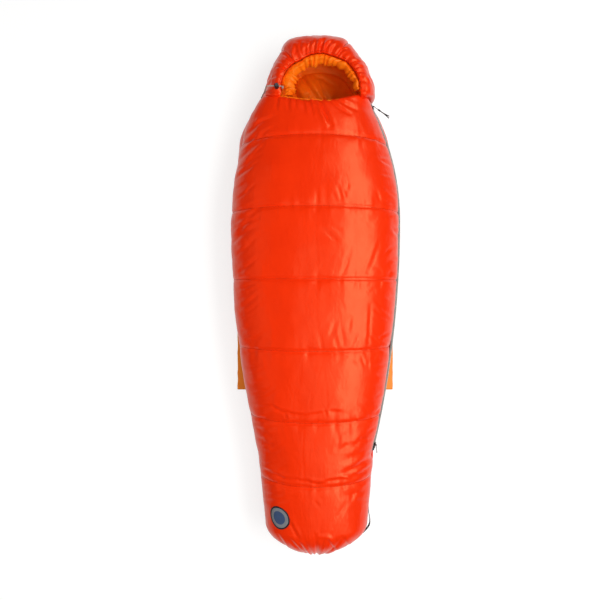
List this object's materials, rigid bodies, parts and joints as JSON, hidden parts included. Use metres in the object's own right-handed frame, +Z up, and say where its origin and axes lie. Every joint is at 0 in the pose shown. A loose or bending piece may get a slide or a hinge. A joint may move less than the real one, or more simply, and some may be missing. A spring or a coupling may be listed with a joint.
{
  "type": "mummy sleeping bag",
  "caption": "Quilted mummy sleeping bag with a gathered drawcord hood, a curved side zip with sliders and pulls, a pad sleeve underneath and a hang loop at the foot.",
  "frame": {"origin": "middle of the bag's footprint, on the surface it lies on", "axes": "+Y from the foot to the hood, +Z up, +X towards the zip side"},
  "size_m": [0.5166, 1.569, 0.2154],
  "materials": {
    "shell_nylon": "calendered nylon taffeta, slight gloss",
    "batting": "lofted polyester batting",
    "liner_taffeta": "soft taffeta, matt",
    "edge_taffeta": "gathered taffeta, slight gloss",
    "sleeve_taffeta": "plain taffeta",
    "grey_cord": "braided polyester cord",
    "black_plastic": "moulded, matt",
    "grey_plastic": "moulded, matt",
    "spring_steel": "drawn wire",
    "zip_tape": "woven tape",
    "zip_coil": "nylon monofilament coil",
    "black_enamel": "black enamel on zinc",
    "grey_enamel": "grey enamel on zinc",
    "black_cord": "braided cord",
    "patch_twill": "plain woven twill",
    "border_thread": "overlocked thread",
    "webbing": "woven webbing"
  },
  "bodies": {
    "bag": {"upper_shell": "shell_nylon", "lower_shell": "shell_nylon", "foot_shell": "shell_nylon", "hood_shell_left": "shell_nylon", "hood_shell_crown": "shell_nylon", "hood_shell_right": "shell_nylon", "hood_back_shell": "shell_nylon", "zip_draft_tube": "shell_nylon", "upper_fill_1": "batting", "upper_fill_2": "batting", "upper_fill_3": "batting", "upper_fill_4": "batting", "upper_fill_5": "batting", "upper_fill_6": "batting", "upper_fill_7": "batting", "lower_fill_1": "batting", "lower_fill_2": "batting", "lower_fill_3": "batting", "lower_fill_4": "batting", "lower_fill_5": "batting", "lower_fill_6": "batting", "lower_fill_7": "batting", "foot_fill": "batting", "hood_fill_left": "batting", "hood_fill_crown": "batting", "hood_fill_right": "batting", "hood_back_fill": "batting", "upper_liner": "liner_taffeta", "lower_liner": "liner_taffeta", "foot_liner": "liner_taffeta", "hood_liner": "liner_taffeta", "hood_back_liner": "liner_taffeta", "collar_binding": "liner_taffeta", "face_ruffle": "edge_taffeta", "pad_sleeve": "sleeve_taffeta", "drawcord": "grey_cord", "drawcord_tail": "grey_cord", "cord_end_bead": "black_plastic", "zip_tape_upper": "zip_tape", "zip_tape_lower": "zip_tape", "zip_coil_upper": "zip_coil", "zip_coil_lower": "zip_coil", "zip_top_stops": "black_enamel", "zip_bottom_stop": "black_enamel", "patch": "patch_twill", "patch_border": "border_thread", "hang_loop": "webbing"},
    "upper_slider": {"top_slider": "black_enamel"},
    "upper_pull": {"top_pull": "black_enamel", "top_pull_cord": "black_cord"},
    "lower_slider": {"bottom_slider": "black_enamel"},
    "lower_pull": {"bottom_pull": "grey_enamel"},
    "cord_lock": {"cord_lock_barrel": "black_plastic", "cord_lock_spring": "spring_steel"},
    "lock_button": {"cord_lock_button": "grey_plastic"}
  },
  "joints": [
    {"name": "upper_slider_travel", "type": "hinge", "parent": "bag", "child": "upper_slider", "pos_m": [-0.5006, 0.227, 0.08], "axis": [0, 0, 1], "range_deg": [-26.7, 0]},
    {"name": "upper_pull_swing", "type": "hinge", "parent": "upper_slider", "child": "upper_pull", "pos_m": [0.17665, 0.57656, 0.0826], "axis": [-0.3035, -0.1577, 0.9397], "range_deg": [-22, 100]},
    {"name": "lower_slider_travel", "type": "hinge", "parent": "bag", "child": "lower_slider", "pos_m": [-2.7906, 0.227, 0.08], "axis": [0, 0, 1], "range_deg": [0, 12.7]},
    {"name": "lower_pull_swing", "type": "hinge", "parent": "lower_slider", "child": "lower_pull", "pos_m": [0.18445, -0.45465, 0.0826], "axis": [-0.3333, 0.0766, 0.9397], "range_deg": [-14, 105]},
    {"name": "cord_lock_travel", "type": "slide", "parent": "bag", "child": "cord_lock", "axis": [-1, 0, 0], "range_m": [0, 0.012]},
    {"name": "cord_lock_press", "type": "slide", "parent": "cord_lock", "child": "lock_button", "axis": [0, 0, -1], "range_m": [0, 0.003], "stiffness_N_per_m": 300, "springref_m": -0.002, "deforming": ["cord_lock_spring"]}
  ]
}
